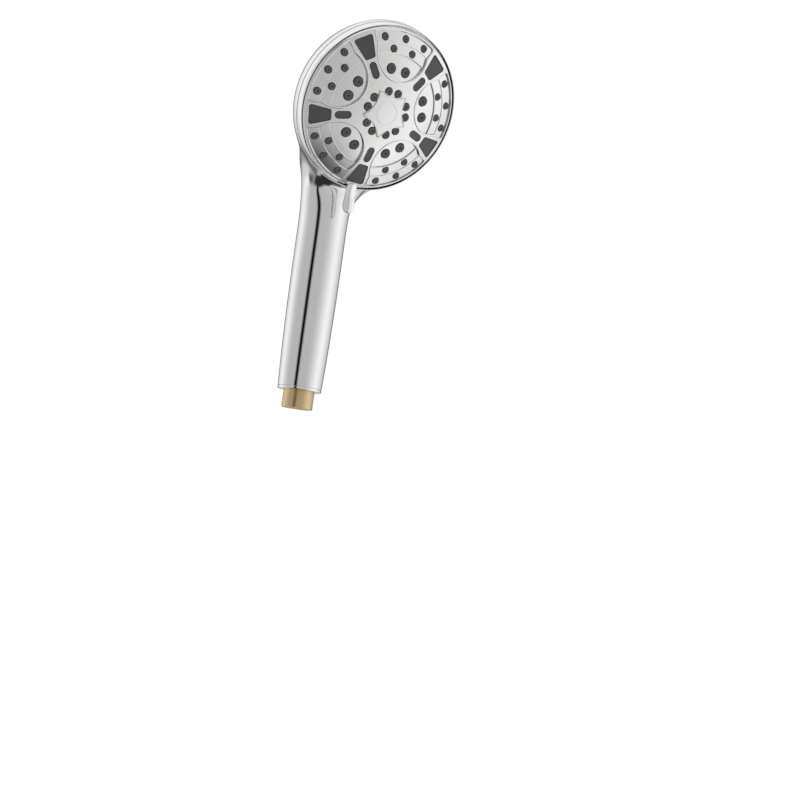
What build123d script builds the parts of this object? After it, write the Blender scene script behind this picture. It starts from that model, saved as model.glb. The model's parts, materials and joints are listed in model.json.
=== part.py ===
from build123d import *
from math import cos, radians, sin, sqrt, tan
import os

# Handheld shower head with a turning spray face.
# Origin: centre of the inlet thread's end. +Z runs up the handle, the spray face looks to -Y.
# The head has its own frame: x = +X, y up the face, w out of the face, with its origin in the
# middle of the rim circle. Heights named *_w are measured along w.

os.makedirs("parts", exist_ok=True)

# ---------------------------------------------------------------- driving dimensions (mm)
# Inlet and handle
thread_r = 20.955 / 2            # G1/2 male, outside the threads
thread_length = 12.0
thread_relief_r = 9.6            # undercut between the thread and the body behind it
grip_length = 133.0              # end of the handle to the bend of the neck
grip_end_r = 14.95
grip_mid_r = 16.75
grip_wall = 2.5
end_cap_height = 2.0

# Neck and head
tilt = 24.4                      # angle between the face and the handle's axis, degrees
neck_length = 14.3               # bend of the neck to the lowest point of the head
neck_depth = 26.9                # middle of the neck behind the rim circle
head_r = 57.1
dish_front_w = -5.8              # front edge of the shell
dish_side_w = -11.5              # where the straight side turns into the dome
dish_dome = 23.0                 # depth of the dome behind that
dish_wall = 2.4
rim_slope = 0.7                  # how much the straight side closes in at its front edge

# Trim ring, between the shell and the face
trim_wall = 2.1                  # trim ring's inside to the head's outside
trim_front_w = 0.0
trim_edge = 0.5                  # rounded front edge
trim_skirt = 3.0
trim_skirt_wall = 0.9
trim_fit = 0.05
trim_inner_r = head_r - trim_wall

# Spray face
face_gap = 0.8                   # face to trim ring
face_r = trim_inner_r - face_gap
face_apex_w = 11.0
face_wall = 2.8
rim_chamfer = 0.7
rim_chamfer_w = 0.9
skirt_wall = 1.8
skirt_w = -7.0
lobe_count = 5
lobe_corner_angle = 26.4         # half angle of the lobe's outer corners
lobe_corner_r = 2.6
eye_depth = 1.7
middle_depth = 1.1
outer_depth = 0.8
star_proud = 0.8
star_tip_round = 1.0
cap_r = 7.0
pad_inner_width = 7.2
pad_outer_width = 14.0
pad_round = 1.6
slot_width = 5.2
pad_recess = 0.5                 # how far pads lie under the dome

# The pattern's radii, drawn for one face radius and scaled with the face
share = face_r / 54.2
lobe_circle_r = 19.0 * share     # round inner end of a lobe
lobe_circle_at = 40.0 * share
lobe_outer_r = 52.7 * share
eye_r = 38.4 * share             # arc between the eye and the middle terrace
ridge_r = 45.0 * share           # arc between the middle and the outer terrace
star_tip_r = 16.9 * share
star_side_r = 10.6 * share
pad_inner_r = 37.0 * share
pad_outer_r = 51.0 * share
slot_inner_r = 24.0 * share
slot_outer_r = 35.0 * share

# Nozzles: ring radius, half angle between a pair (0 for one on the axis), hole radius, floor depth
nozzle_families = {
    "centre": (14.5 * share, 14.3, 2.9, 0.0),
    "large": (28.7 * share, 10.9, 3.5, eye_depth),
    "middle": (41.0 * share, 10.0, 2.55, middle_depth),
    "outer_pair": (48.3 * share, 18.05, 2.55, outer_depth),
    "outer_axis": (48.3 * share, 0.0, 2.55, outer_depth),
}
nozzle_proud = 0.6
nozzle_fit = 0.08                # nub to hole, all round
nozzle_bore = {"centre": 0.9, "large": 1.3, "middle": 0.75, "outer_pair": 0.75, "outer_axis": 0.75}

# Rotor stack behind the face
seat_gap = 0.1                   # between stacked dome layers
sheet_wall = 1.0
chamber_front_w = -3.5
chamber_wall = 1.6
gasket_wall = 0.6
distributor_wall = 2.4
rotor_side_gap = 0.2
hub_r = 9.0
hub_top_w = 2.7
chamber_wall_radii = (21.5 * share, 35.5 * share)
chamber_rib = 1.6
port_at = 24.0 * share
port_r = 3.2
port_step = 30.0                 # turn from one spray setting to the next, degrees
port_side_count = 2              # settings on each side of the middle one
face_screw_at = 31.0 * share
face_screw_r = 1.2
face_screw_head_r = 2.3
face_screw_head = 1.2
face_screw_length = 6.0

# Housing, pivot and valve
rotor_gap = 0.5                  # rotor's rear face to the valve face
housing_gap = 1.4                # housing to the shell's inside
housing_r = head_r - dish_wall - housing_gap
housing_wall = 3.4
post_r = 5.1
pivot_clearance = 0.05
post_top_w = 3.0
washer_r = 6.6
washer_wall = 1.0
pivot_screw_r = 2.0
pivot_screw_head_r = 4.2
pivot_screw_head = 2.2
pivot_screw_length = 10.0
glide_r = 10.0
glide_wall = 0.4
touch_gap = 0.05                 # a part that rides on the rotor's rear face
seal_r = 5.4
seal_bore_r = 3.0
seal_length = 4.4
seal_spring_length = 3.4
detent_at = 38.0 * share
detent_r = 1.5
detent_length = 5.5
detent_spring_length = 6.0
notch_depth = 0.6
stop_at = 46.0 * share
stop_r = 1.8
stop_length = 2.3
stop_clearance = 0.1
slide_clearance = 0.05
boss_wall = 1.9
housing_screw_count = 4
housing_screw_at = 38.5 * share
housing_screw_r = 1.5
housing_screw_head_r = 3.0
housing_screw_head = 2.0
housing_screw_length = 12.0
shell_boss_r = 3.6
thread_fit = 0.02

# Waterway
tube_r = 6.5
tube_bore_r = 5.0
tube_depth = 21.0                # tube's axis behind the rim circle, inside the head
tube_bend_r = 60.0
tube_end_y = -36.0 * share
elbow_r = 8.3
elbow_mouth_y = -47.0 * share
water_bore_r = 4.0
connector_r = 12.2
connector_body = 9.5
spigot_length = 12.0
spigot_clearance = 0.1
connector_bore_r = 3.6
inlet_bore_r = 7.4
inlet_bore_depth = 10.5
seal_ring_r = 0.9
small_ring_r = 0.5
filter_wall = 1.2
regulator_wall = 4.0

# Lever
lever_width = 8.0
lever_tip_width = 10.6
lever_length = 13.5              # below the rim
lever_root = 2.5                 # how far its tongue reaches into the face
lever_tongue = 1.5
lever_lift = 0.4                 # tongue's underside over the trim ring
lever_depth = 3.4

# ---------------------------------------------------------------- derived places
quarter_oval = 0.5523            # handle length of a curve that draws a quarter of an oval
handle_bottom = thread_length
bend_z = handle_bottom + grip_length
up_dir = Vector(0, -sin(radians(tilt)), cos(radians(tilt)))
out_dir = Vector(0, -cos(radians(tilt)), -sin(radians(tilt)))
right_dir = Vector(1, 0, 0)
neck_mid = Vector(0, 0, bend_z)
head_centre = neck_mid + up_dir * (neck_length + head_r) + out_dir * neck_depth
head = Plane(origin=head_centre, x_dir=right_dir, z_dir=out_dir)
head_profile = Plane(origin=head_centre, x_dir=right_dir, z_dir=up_dir * -1)
head_axis = Axis(head_centre, out_dir)

sphere_r = (face_r**2 + face_apex_w**2) / (2 * face_apex_w)
sphere_w = face_apex_w - sphere_r
sphere_centre = head_centre + out_dir * sphere_w

chamber_rear_w = chamber_front_w - chamber_wall
gasket_rear_w = chamber_rear_w - gasket_wall
rotor_rear_w = gasket_rear_w - distributor_wall
valve_w = rotor_rear_w - rotor_gap
housing_rear_w = valve_w - housing_wall
rotor_r = face_r - skirt_wall - rotor_side_gap
hub_bore_r = post_r + pivot_clearance
ride_w = rotor_rear_w - touch_gap
seal_floor_w = ride_w - seal_length - seal_spring_length
detent_tail_w = ride_w - detent_length
detent_floor_w = detent_tail_w - detent_spring_length
screw_start = 90 - 180 / lobe_count
notch_angles = [90 + port_step * k for k in range(-port_side_count, port_side_count + 1)]
port_angles = [270 + port_step * k for k in range(-port_side_count, port_side_count + 1)]
turn_limit = port_step * port_side_count


def dome_w(radius, drop=0.0):
    """Height of the face's dome at a radius, or of the dome that lies drop below it."""
    return sqrt((sphere_r - drop) ** 2 - radius**2) + sphere_w


def at_head(x, y, w):
    """A point given in the head's frame."""
    return head_centre + right_dir * x + up_dir * y + out_dir * w


def polar_plane(radius, angle, w):
    """A plane parallel to the face, centred at a polar place on it."""
    spot = at_head(radius * cos(radians(angle)), radius * sin(radians(angle)), w)
    return Plane(origin=spot, x_dir=right_dir, z_dir=out_dir)


def save(builder, name):
    """Label a finished piece and write its file."""
    builder.part.label = name
    export_step(builder.part, f"parts/{name}.step")


def head_ring(outer_r, inner_r, low_w, high_w, mode=Mode.ADD):
    """A flat ring, or a disc if inner_r is 0, about the head's axis."""
    with BuildSketch(head.offset(low_w)) as ring:
        Circle(outer_r)
        if inner_r > 0:
            Circle(inner_r, mode=Mode.SUBTRACT)
    extrude(ring.sketch, amount=high_w - low_w, mode=mode)


def head_post(radius, angle, post_radius, low_w, high_w, mode=Mode.ADD):
    """A round post or hole along the head's axis."""
    with BuildSketch(polar_plane(radius, angle, low_w)) as post:
        Circle(post_radius)
    extrude(post.sketch, amount=high_w - low_w, mode=mode)


def torus_about(plane, ring_r, wire_r):
    """An O-ring whose circle lies in the plane."""
    profile = Plane(origin=plane.origin, x_dir=plane.x_dir, z_dir=plane.y_dir * -1)
    with BuildSketch(profile) as wire:
        with Locations((ring_r, 0)):
            Circle(wire_r)
    revolve(wire.sketch, axis=Axis(plane.origin, plane.z_dir))


# ---------------------------------------------------------------- handle and neck sections
def grip_radius(share):
    """Grip radius, from 0 at the handle's end to 1 at the top of the grip."""
    fullest = 0.75
    return grip_mid_r - (grip_mid_r - grip_end_r) * ((share - fullest) / fullest) ** 2


grip_foot = handle_bottom + end_cap_height
grip_top = bend_z - 18.0
neck_r = grip_radius(1.0)


def neck_section(below_head, half_width, front_w, back_w):
    """Plane and half widths of an oval section across the neck."""
    spot = at_head(0, -below_head, (front_w + back_w) / 2)
    return Plane(origin=spot, x_dir=right_dir, z_dir=up_dir), half_width, (front_w - back_w) / 2


dish_back_w = dish_side_w - dish_dome
neck_back_w = -neck_depth - neck_r + 1.5


def bend_section(along, turned, half_x, half_y):
    """Section on the way round the bend, along millimetres past the top of the grip."""
    angle = radians(tilt * turned)
    spot = Vector(0, -along * sin(angle) / 2, grip_top + along)
    return Plane(origin=spot, x_dir=right_dir, z_dir=Vector(0, -sin(angle), cos(angle))), half_x, half_y


bend_run = bend_z - grip_top
neck_stations = [
    bend_section(0, 0, neck_r, neck_r),
    bend_section(bend_run / 2, 0.06, neck_r + 0.1, neck_r - 0.1),
    bend_section(bend_run, 0.3, neck_r + 0.9, neck_r - 0.4),
    neck_section(head_r + 7.0, neck_r + 4.2, dish_front_w - 3.7, neck_back_w + 0.9),
    neck_section(head_r - 1.0, neck_r + 10.4, dish_front_w - 1.7, neck_back_w + 2.8),
    neck_section(head_r - 10.0, neck_r + 15.8, dish_front_w - 1.2, neck_back_w + 4.8),
    neck_section(head_r - 20.0, neck_r + 18.6, dish_front_w - 1.6, neck_back_w + 6.8),
    neck_section(head_r - 32.0, neck_r + 17.6, dish_front_w - 2.4, neck_back_w + 8.6),
    neck_section(head_r - 45.0, neck_r + 12.0, dish_front_w - 3.2, dish_back_w + 2.2),
]


def grip(inset, below=0.0):
    """The round grip, inset all round."""
    with BuildSketch(Plane.XZ) as half:
        with BuildLine():
            foot = (grip_end_r - inset, grip_foot)
            middle = (grip_radius(0.5) - inset, (grip_foot + grip_top) / 2)
            top = (neck_r - inset, grip_top)
            ThreePointArc(foot, middle, top)
            Line(top, (0, grip_top))
            Line((0, grip_top), (0, grip_foot - below))
            Line((0, grip_foot - below), (grip_end_r - inset, grip_foot - below))
            if below:
                Line((grip_end_r - inset, grip_foot - below), foot)
        make_face()
    revolve(half.sketch, axis=Axis.Z)


def neck(inset):
    """The neck as a smooth loft from the grip into the head, inset all round."""
    sections = []
    for plane, half_x, half_y in neck_stations:
        with BuildSketch(plane) as section:
            Ellipse(half_x - inset, half_y - inset)
        sections.append(section.sketch)
    loft(sections)


def dish(inset, front_w):
    """The dished back of the head, inset all round, closed flat at front_w."""
    with BuildSketch(head_profile) as half:
        with BuildLine():
            Line((0, front_w), (head_r - rim_slope - inset, front_w))
            Line((head_r - rim_slope - inset, front_w), (head_r - inset, dish_side_w))
            side_r = head_r - inset
            depth = dish_dome - inset
            Bezier(
                (side_r, dish_side_w),
                (side_r, dish_side_w - depth * quarter_oval),
                (side_r * quarter_oval, dish_side_w - depth),
                (0, dish_side_w - depth),
            )
            Line((0, dish_side_w - dish_dome + inset), (0, front_w))
        make_face()
    revolve(half.sketch, axis=head_axis)


# Hollow of the shell, with the screw bosses left standing in it
with BuildPart() as hollow:
    grip(grip_wall, below=1.0)
    neck(grip_wall)
    dish(dish_wall, 1.0)
    for index in range(housing_screw_count):
        angle = 45 + 360 / housing_screw_count * index
        boss_low = dish_back_w - 2.0
        head_post(housing_screw_at, angle, shell_boss_r, boss_low, housing_rear_w, Mode.SUBTRACT)
        screw_tip_w = valve_w - housing_screw_length - 1.0
        pilot_r = housing_screw_r + thread_fit
        head_post(housing_screw_at, angle, pilot_r, screw_tip_w, housing_rear_w)

# Rebate that the trim ring's skirt sits in
rebate_r = trim_inner_r + trim_skirt_wall
rebate_w = dish_front_w - trim_skirt

with BuildPart() as handle_shell:
    grip(0.0)
    neck(0.0)
    dish(0.0, dish_front_w)
    add(hollow.part, mode=Mode.SUBTRACT)
    head_ring(rebate_r + trim_fit, 0, rebate_w - trim_fit, 5.0, Mode.SUBTRACT)
save(handle_shell, "handle_shell")

# ---------------------------------------------------------------- trim ring
with BuildPart() as trim_ring:
    with BuildSketch(head_profile):
        with BuildLine():
            Polyline(
                (trim_inner_r, trim_front_w - trim_edge),
                (trim_inner_r + trim_edge / 2, trim_front_w),
                (trim_inner_r + trim_edge, trim_front_w),
                (head_r - rim_slope - 0.1, dish_front_w + 0.1),
                (rebate_r, dish_front_w + 0.1),
                (rebate_r, rebate_w),
                (trim_inner_r, rebate_w),
                close=True,
            )
        make_face()
    revolve(axis=head_axis)
save(trim_ring, "trim_ring")

# ---------------------------------------------------------------- face outlines
with BuildSketch(mode=Mode.PRIVATE) as lobe:
    with BuildLine():
        inner_left = (-lobe_circle_r, lobe_circle_at)
        inner_right = (lobe_circle_r, lobe_circle_at)
        corner_x = lobe_outer_r * sin(radians(lobe_corner_angle))
        corner_y = lobe_outer_r * cos(radians(lobe_corner_angle))
        ThreePointArc(inner_left, (0, lobe_circle_at - lobe_circle_r), inner_right)
        Line(inner_right, (corner_x, corner_y))
        ThreePointArc((corner_x, corner_y), (0, lobe_outer_r), (-corner_x, corner_y))
        Line((-corner_x, corner_y), inner_left)
    make_face()
    fillet(lobe.vertices().group_by(Axis.Y)[-1], radius=lobe_corner_r)

with BuildSketch(mode=Mode.PRIVATE) as star:
    with BuildLine():
        for index in range(lobe_count):
            middle = 90 + 360 / lobe_count * index
            half = 180 / lobe_count
            tip_a = Vector(star_tip_r, 0).rotate(Axis.Z, middle - half)
            tip_b = Vector(star_tip_r, 0).rotate(Axis.Z, middle + half)
            ThreePointArc(tip_a, Vector(star_side_r, 0).rotate(Axis.Z, middle), tip_b)
    make_face()
    fillet(star.vertices(), radius=star_tip_round)

with BuildSketch(mode=Mode.PRIVATE) as pad:
    with BuildLine():
        Polyline(
            (pad_inner_r, -pad_inner_width / 2),
            (pad_outer_r, -pad_outer_width / 2),
            (pad_outer_r, pad_outer_width / 2),
            (pad_inner_r, pad_inner_width / 2),
            close=True,
        )
    make_face()
    fillet(pad.vertices(), radius=pad_round)


def windows(clearance):
    """Pads and slots between the lobes, shrunk all round by a clearance."""
    first = 90 + 180 / lobe_count
    with PolarLocations(0, lobe_count, start_angle=first):
        add(offset(pad.sketch, amount=-clearance, mode=Mode.PRIVATE) if clearance else pad.sketch)
    with PolarLocations((slot_inner_r + slot_outer_r) / 2, lobe_count, start_angle=first):
        SlotOverall(slot_outer_r - slot_inner_r - 2 * clearance, slot_width - 2 * clearance)


def nozzle_circles(family, radius):
    """Circles of one family of nozzles, at every lobe."""
    ring_r, half_angle, _, _ = nozzle_families[family]
    sides = (-1, 1) if half_angle else (0,)
    for side in sides:
        with PolarLocations(ring_r, lobe_count, start_angle=90 + side * half_angle):
            Circle(radius)


def lobe_pocket(inner_r, outer_r, depth):
    """The space cut out of the lobes between two radii, down to a dome."""
    with BuildPart(mode=Mode.PRIVATE) as pocket:
        with BuildSketch(head.offset(-4)):
            with PolarLocations(0, lobe_count):
                add(lobe.sketch)
            if outer_r:
                Circle(outer_r, mode=Mode.INTERSECT)
            if inner_r:
                Circle(inner_r, mode=Mode.SUBTRACT)
        extrude(amount=face_apex_w + 8)
        with Locations(sphere_centre):
            Sphere(sphere_r - depth, mode=Mode.SUBTRACT)
    return pocket.part


# ---------------------------------------------------------------- spray face
with BuildPart() as star_boss:
    with BuildSketch(head.offset(face_apex_w - face_wall / 2)):
        add(star.sketch)
    extrude(amount=8)
    with Locations(sphere_centre):
        Sphere(sphere_r + star_proud, mode=Mode.INTERSECT)

with BuildPart() as face_plate:
    with BuildSketch(head_profile):
        rim_r = face_r - rim_chamfer
        rim_w = dome_w(rim_r)
        skirt_inner_r = face_r - skirt_wall
        inner_edge_w = dome_w(skirt_inner_r, face_wall)
        mid_r = face_r / 2
        with BuildLine():
            ThreePointArc((0, face_apex_w), (mid_r, dome_w(mid_r)), (rim_r, rim_w))
            Line((rim_r, rim_w), (face_r, rim_w - rim_chamfer_w))
            Line((face_r, rim_w - rim_chamfer_w), (face_r, skirt_w))
            Line((face_r, skirt_w), (skirt_inner_r, skirt_w))
            Line((skirt_inner_r, skirt_w), (skirt_inner_r, inner_edge_w))
            ThreePointArc(
                (skirt_inner_r, inner_edge_w),
                (mid_r, dome_w(mid_r, face_wall)),
                (0, face_apex_w - face_wall),
            )
            Line((0, face_apex_w - face_wall), (0, face_apex_w))
        make_face()
    revolve(axis=head_axis)
    add(lobe_pocket(0, eye_r, eye_depth), mode=Mode.SUBTRACT)
    add(lobe_pocket(eye_r, ridge_r, middle_depth), mode=Mode.SUBTRACT)
    add(lobe_pocket(ridge_r, 0, outer_depth), mode=Mode.SUBTRACT)
    add(star_boss.part)
    with BuildSketch(head.offset(-6)):
        for family, (_, _, hole_r, _) in nozzle_families.items():
            nozzle_circles(family, hole_r)
        windows(0)
        Circle(cap_r + trim_fit)
    extrude(amount=face_apex_w + 10, mode=Mode.SUBTRACT)
    with BuildSketch(head.offset(lever_lift - trim_fit)):
        with Locations((0, -face_r)):
            Rectangle(lever_width + 2 * trim_fit, 2 * (lever_root + trim_fit))
    extrude(amount=5, mode=Mode.SUBTRACT)
save(face_plate, "face_plate")

with BuildPart() as centre_cap:
    head_ring(cap_r, 0, face_apex_w - face_wall + 0.3, face_apex_w + 3)
    with Locations(sphere_centre):
        Sphere(sphere_r + star_proud, mode=Mode.INTERSECT)
    head_ring(cap_r - 0.6, cap_r - 2.2, hub_top_w + 2.3, face_apex_w - face_wall + 0.5)
save(centre_cap, "centre_cap")

# Pads of the soft sheet, cut off under the dome
with BuildPart() as pads:
    with BuildSketch(head.offset(chamber_front_w)):
        windows(nozzle_fit)
    extrude(amount=face_apex_w + 8)
    with Locations(sphere_centre):
        Sphere(sphere_r - pad_recess, mode=Mode.INTERSECT)
        Sphere(sphere_r - face_wall - seat_gap - sheet_wall / 2, mode=Mode.SUBTRACT)

# The sheet's layer, as depths under the dome
top_drop = face_wall + seat_gap
low_drop = top_drop + sheet_wall

with BuildPart() as nozzle_sheet:
    with BuildSketch(head_profile):
        edge_r = rotor_r
        mid_r = edge_r / 2
        with BuildLine():
            ThreePointArc(
                (0, face_apex_w - top_drop),
                (mid_r, dome_w(mid_r, top_drop)),
                (edge_r, dome_w(edge_r, top_drop)),
            )
            Line((edge_r, dome_w(edge_r, top_drop)), (edge_r, dome_w(edge_r, low_drop)))
            ThreePointArc(
                (edge_r, dome_w(edge_r, low_drop)),
                (mid_r, dome_w(mid_r, low_drop)),
                (0, face_apex_w - low_drop),
            )
            Line((0, face_apex_w - low_drop), (0, face_apex_w - top_drop))
        make_face()
    revolve(axis=head_axis)
    add(pads.part)
    for family, (ring_r, _, hole_r, depth) in nozzle_families.items():
        root_w = dome_w(ring_r, top_drop + sheet_wall / 2)
        tip_w = dome_w(ring_r, depth) + nozzle_proud
        with BuildSketch(head.offset(root_w)):
            nozzle_circles(family, hole_r - nozzle_fit)
        extrude(amount=tip_w - root_w)
    with BuildSketch(head.offset(chamber_front_w - 1)):
        for family, bore_r in nozzle_bore.items():
            nozzle_circles(family, bore_r)
        Circle(hub_r + nozzle_fit)
    extrude(amount=face_apex_w + 8, mode=Mode.SUBTRACT)
save(nozzle_sheet, "nozzle_sheet")

# ---------------------------------------------------------------- rotor stack
with BuildPart() as chamber_plate:
    head_ring(rotor_r, 0, chamber_rear_w, chamber_front_w)
    for wall_r in chamber_wall_radii:
        wall_top = dome_w(wall_r + chamber_rib, low_drop) - seat_gap
        head_ring(wall_r + chamber_rib, wall_r, chamber_front_w, wall_top)
    head_ring(hub_r, 0, chamber_front_w, dome_w(hub_r, face_wall) - seat_gap)
    for index in range(lobe_count):
        angle = screw_start + 360 / lobe_count * index
        boss_r = face_screw_r + 1.4
        screw_tip_w = rotor_rear_w + face_screw_length
        head_post(face_screw_at, angle, boss_r, chamber_front_w, screw_tip_w + 0.8)
        pilot_r = face_screw_r + thread_fit
        head_post(face_screw_at, angle, pilot_r, chamber_rear_w, screw_tip_w + 0.2, Mode.SUBTRACT)
    for angle in port_angles:
        head_post(port_at + 4.5, angle, port_r - 0.6, chamber_rear_w, chamber_front_w, Mode.SUBTRACT)
    head_ring(washer_r + 0.4, 0, hub_top_w, face_apex_w, Mode.SUBTRACT)
    head_ring(hub_bore_r, 0, chamber_rear_w, hub_top_w, Mode.SUBTRACT)
save(chamber_plate, "chamber_plate")

with BuildPart() as rotor_gasket:
    head_ring(rotor_r - 0.5, hub_bore_r + 0.6, gasket_rear_w, chamber_rear_w)
    for angle in port_angles:
        head_post(port_at, angle, port_r, gasket_rear_w, chamber_rear_w, Mode.SUBTRACT)
    for index in range(lobe_count):
        angle = screw_start + 360 / lobe_count * index
        hole_r = face_screw_r + 0.2
        head_post(face_screw_at, angle, hole_r, gasket_rear_w, chamber_rear_w, Mode.SUBTRACT)
save(rotor_gasket, "rotor_gasket")

with BuildPart() as distributor_plate:
    head_ring(rotor_r, hub_bore_r, rotor_rear_w, gasket_rear_w)
    head_post(stop_at, 0, stop_r, rotor_rear_w - stop_length, rotor_rear_w)
    for angle in port_angles:
        head_post(port_at, angle, port_r, rotor_rear_w, gasket_rear_w, Mode.SUBTRACT)
    for angle in notch_angles:
        notch_r = detent_r + 0.4
        notch_top_w = rotor_rear_w + notch_depth
        head_post(detent_at, angle, notch_r, rotor_rear_w, notch_top_w, Mode.SUBTRACT)
    for index in range(lobe_count):
        angle = screw_start + 360 / lobe_count * index
        hole_r = face_screw_r + 0.1
        head_w = rotor_rear_w + face_screw_head
        head_post(face_screw_at, angle, hole_r, rotor_rear_w, gasket_rear_w, Mode.SUBTRACT)
        head_post(face_screw_at, angle, face_screw_head_r + 0.1, rotor_rear_w, head_w, Mode.SUBTRACT)
save(distributor_plate, "distributor_plate")

with BuildPart() as face_screws:
    for index in range(lobe_count):
        angle = screw_start + 360 / lobe_count * index
        head_w = rotor_rear_w + face_screw_head
        head_post(face_screw_at, angle, face_screw_head_r, rotor_rear_w + 0.1, head_w)
        head_post(face_screw_at, angle, face_screw_r, head_w, rotor_rear_w + face_screw_length)
        head_post(face_screw_at, angle, 0.7, rotor_rear_w, rotor_rear_w + 0.8, Mode.SUBTRACT)
save(face_screws, "face_screws")

# ---------------------------------------------------------------- lever
lever_top_r = head_r + 0.6
lever_root_at = face_r - lever_root
lever_slope = tan(radians(tilt)) * lever_length

with BuildPart() as selector_lever:
    with BuildSketch(head.offset(lever_lift)):
        with Locations((0, -(lever_root_at + lever_top_r) / 2)):
            Rectangle(lever_width, lever_top_r - lever_root_at)
    extrude(amount=lever_tongue)
    for below, half_width, depth in (
        (0.0, lever_width / 2, lever_tongue),
        (lever_length * 0.35, lever_width / 2, lever_depth - 0.6),
        (lever_length * 0.75, lever_tip_width / 2, lever_depth),
        (lever_length, lever_tip_width / 2 - 1.6, lever_depth * 0.5),
    ):
        lift = lever_lift + lever_slope * below / lever_length
        spot = at_head(0, -lever_top_r - below, lift)
        with BuildSketch(Plane(origin=spot, x_dir=right_dir, z_dir=up_dir * -1)):
            with BuildLine():
                Polyline(
                    (-half_width, 0),
                    (half_width, 0),
                    (half_width - 0.5, depth * 0.5),
                    (0.6, depth),
                    (-0.6, depth),
                    (-half_width + 0.5, depth * 0.5),
                    close=True,
                )
            make_face()
    loft()
save(selector_lever, "selector_lever")

# ---------------------------------------------------------------- housing, pivot and valve
elbow_plane = Plane(origin=at_head(0, elbow_mouth_y, -tube_depth), x_dir=right_dir, z_dir=up_dir)
elbow_length = -port_at + elbow_r - 0.5 - elbow_mouth_y
stop_path = CenterArc((0, 0), stop_at, -turn_limit, 2 * turn_limit)

with BuildPart() as inner_housing:
    head_ring(housing_r, 0, housing_rear_w, valve_w)
    head_ring(post_r, 0, valve_w, post_top_w)
    with BuildSketch(elbow_plane):
        Circle(elbow_r)
    extrude(amount=elbow_length)
    head_post(port_at, 270, seal_r + boss_wall, -tube_depth, housing_rear_w)
    head_post(detent_at, 90, detent_r + boss_wall, detent_floor_w - 1.2, housing_rear_w)
    with BuildSketch(elbow_plane):
        Circle(tube_r + slide_clearance)
    extrude(amount=tube_end_y - elbow_mouth_y + 0.1, mode=Mode.SUBTRACT)
    with BuildSketch(elbow_plane):
        Circle(water_bore_r)
    extrude(amount=-port_at - elbow_mouth_y, mode=Mode.SUBTRACT)
    head_post(port_at, 270, water_bore_r, -tube_depth, valve_w, Mode.SUBTRACT)
    head_post(port_at, 270, seal_r + slide_clearance, seal_floor_w, valve_w, Mode.SUBTRACT)
    head_post(detent_at, 90, detent_r + slide_clearance, detent_floor_w, valve_w, Mode.SUBTRACT)
    with BuildSketch(head.offset(valve_w - stop_length + rotor_gap - 0.3)):
        SlotArc(stop_path, height=2 * (stop_r + stop_clearance))
    extrude(amount=stop_length, mode=Mode.SUBTRACT)
    for index in range(housing_screw_count):
        angle = 45 + 360 / housing_screw_count * index
        sink_w = valve_w - housing_screw_head - 0.1
        hole_r = housing_screw_r + 0.1
        head_post(housing_screw_at, angle, hole_r, housing_rear_w, valve_w, Mode.SUBTRACT)
        head_post(housing_screw_at, angle, housing_screw_head_r + 0.1, sink_w, valve_w, Mode.SUBTRACT)
    pivot_ring_w = (rotor_rear_w + gasket_rear_w) / 2
    groove_half = small_ring_r + slide_clearance
    groove_floor_r = post_r - 2 * small_ring_r
    groove_low_w = pivot_ring_w - groove_half
    head_ring(post_r + 1, groove_floor_r, groove_low_w, pivot_ring_w + groove_half, Mode.SUBTRACT)
    screw_hole_w = post_top_w + washer_wall - pivot_screw_length - 0.5
    head_ring(pivot_screw_r + thread_fit, 0, screw_hole_w, post_top_w, Mode.SUBTRACT)
save(inner_housing, "inner_housing")

with BuildPart() as housing_screws:
    for index in range(housing_screw_count):
        angle = 45 + 360 / housing_screw_count * index
        top_w = valve_w - 0.1
        under_w = top_w - housing_screw_head
        head_post(housing_screw_at, angle, housing_screw_head_r, under_w, top_w)
        head_post(housing_screw_at, angle, housing_screw_r, valve_w - housing_screw_length, under_w)
        head_post(housing_screw_at, angle, 1.1, top_w - 1.2, top_w, Mode.SUBTRACT)
save(housing_screws, "housing_screws")

with BuildPart() as screw_washer:
    head_ring(washer_r, pivot_screw_r + 0.1, post_top_w, post_top_w + washer_wall)
save(screw_washer, "screw_washer")

with BuildPart() as pivot_screw:
    screw_seat_w = post_top_w + washer_wall
    head_ring(pivot_screw_head_r, 0, screw_seat_w, screw_seat_w + pivot_screw_head)
    head_ring(pivot_screw_r, 0, screw_seat_w - pivot_screw_length, screw_seat_w)
    with BuildSketch(head.offset(screw_seat_w + pivot_screw_head)):
        Rectangle(4.6, 1.0)
        Rectangle(1.0, 4.6)
    extrude(amount=-1.3, mode=Mode.SUBTRACT)
save(pivot_screw, "pivot_screw")

with BuildPart() as pivot_o_ring:
    torus_about(head.offset(pivot_ring_w), post_r - small_ring_r - 0.02, small_ring_r - 0.02)
save(pivot_o_ring, "pivot_o_ring")

with BuildPart() as glide_washer:
    head_ring(glide_r, post_r + 0.2, valve_w, valve_w + glide_wall)
save(glide_washer, "glide_washer")

with BuildPart() as port_seal:
    head_post(port_at, 270, seal_r, ride_w - seal_length, ride_w)
    head_post(port_at, 270, seal_bore_r, ride_w - seal_length, ride_w, Mode.SUBTRACT)
save(port_seal, "port_seal")


def coil(plane, coil_r, wire_r, length, turns):
    """A compression spring that stands on the plane."""
    path = Helix(
        pitch=(length - 2 * wire_r) / turns,
        height=length - 2 * wire_r,
        radius=coil_r,
        center=(0, 0, wire_r),
        mode=Mode.PRIVATE,
    )
    path = plane.from_local_coords(path)
    with BuildSketch(Plane(origin=path @ 0, z_dir=path % 0)) as wire:
        Circle(wire_r)
    sweep(wire.sketch, path=path, is_frenet=True)


with BuildPart() as port_seal_spring:
    coil(polar_plane(port_at, 270, seal_floor_w + 0.05), seal_r - 0.75, 0.4, seal_spring_length - 0.1, 2.5)
save(port_seal_spring, "port_seal_spring")

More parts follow.
